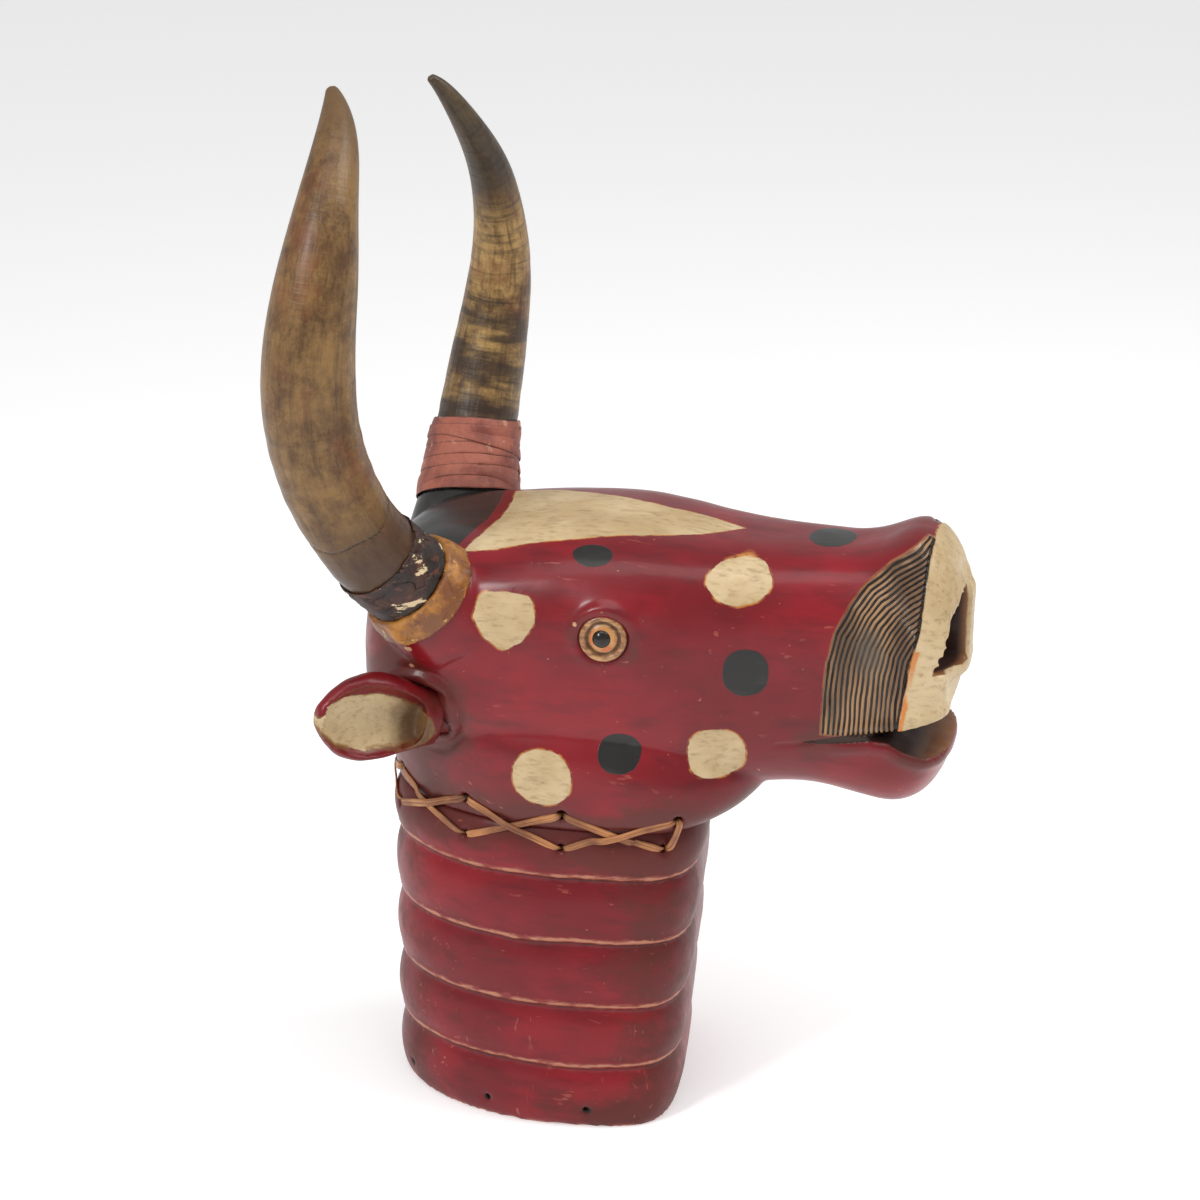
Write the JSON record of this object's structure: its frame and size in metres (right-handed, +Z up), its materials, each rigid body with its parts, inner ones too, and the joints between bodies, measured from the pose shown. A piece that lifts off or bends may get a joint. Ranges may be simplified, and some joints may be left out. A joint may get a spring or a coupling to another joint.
{
  "type": "carved wooden ox head on a hollow neck",
  "caption": "Carved and painted wooden ox head with real horns, laced to a hollow ringed neck that stands on its open foot.",
  "frame": {"origin": "centre of the neck's open foot, on the surface that the foot rests on", "axes": "+X towards the muzzle, +Y towards the animal's left, +Z up along the neck"},
  "size_m": [0.5143, 0.3836, 0.8493],
  "materials": {
    "red_wood": "worn satin paint over carved wood",
    "neck_wood": "worn satin paint over carved wood",
    "ear_wood": "worn paint, pale hollow",
    "core_wood": "bare cut wood",
    "horn_right": "polished natural horn, brown",
    "horn_left": "natural horn, grey-brown with a dark tip",
    "resin": "ochre resin, cracked",
    "binding": "dry reddish leather strip",
    "binding_remains": "blackened leather remains",
    "eye": "turned wood, stained ochre",
    "pupil": "black, glossy",
    "lacing": "dry rawhide strip"
  },
  "bodies": {
    "root": {"head": "red_wood", "neck": "neck_wood", "ear_left": "ear_wood", "ear_right": "ear_wood", "horn_left": "horn_left", "horn_right": "horn_right", "horn_core_left": "core_wood", "horn_core_right": "core_wood", "horn_collar_right": "resin", "horn_binding_left": "binding", "horn_binding_right": "binding_remains", "eye_left": "eye", "eye_right": "eye", "pupil_left": "pupil", "pupil_right": "pupil", "lace_a": "lacing", "lace_b": "lacing", "lace_knots_a": "lacing", "lace_knots_b": "lacing"}
  },
  "joints": []
}
